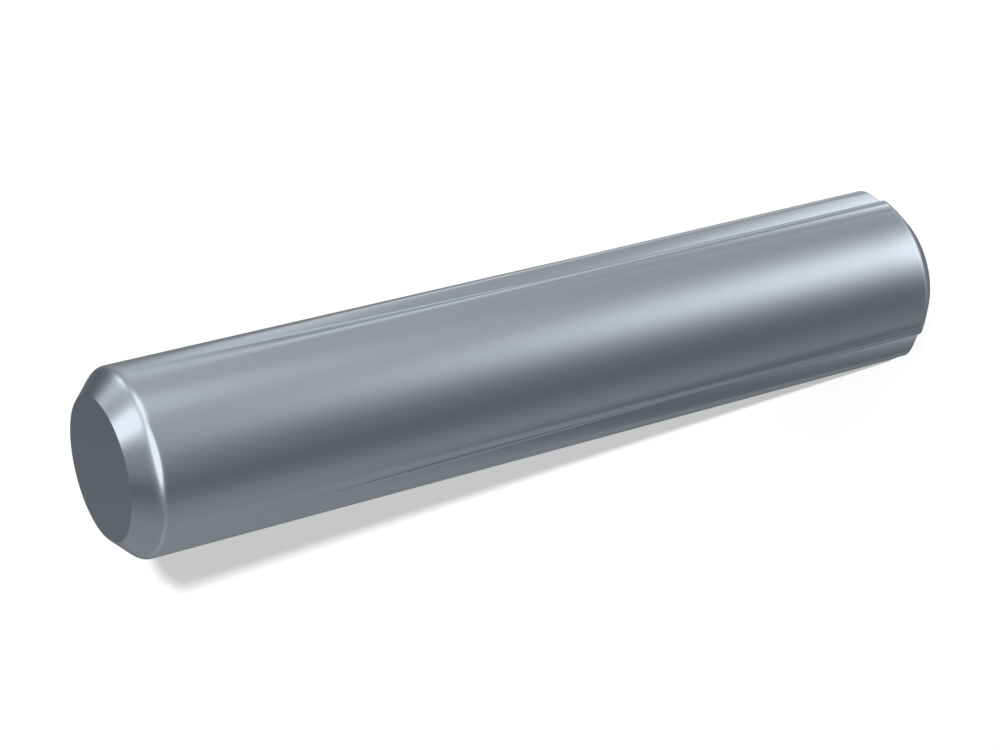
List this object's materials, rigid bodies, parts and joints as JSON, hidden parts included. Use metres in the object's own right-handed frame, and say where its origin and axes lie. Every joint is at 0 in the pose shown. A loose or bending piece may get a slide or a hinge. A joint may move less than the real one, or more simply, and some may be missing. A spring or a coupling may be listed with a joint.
{
  "type": "grooved taper pin",
  "caption": "Cylindrical steel locating pin with tapering lengthwise grooves whose raised lips grip the wall of a drilled hole.",
  "frame": {"origin": "middle of the big end's flat face, on which the pin stands", "axes": "+Z along the pin's axis to the small end; +Y through the middle of the first groove"},
  "size_m": [0.01, 0.0101, 0.05],
  "materials": {
    "pin_steel": "smooth satin drawn steel"
  },
  "bodies": {
    "root": {"grooved_taper_pin": "pin_steel"}
  },
  "joints": []
}
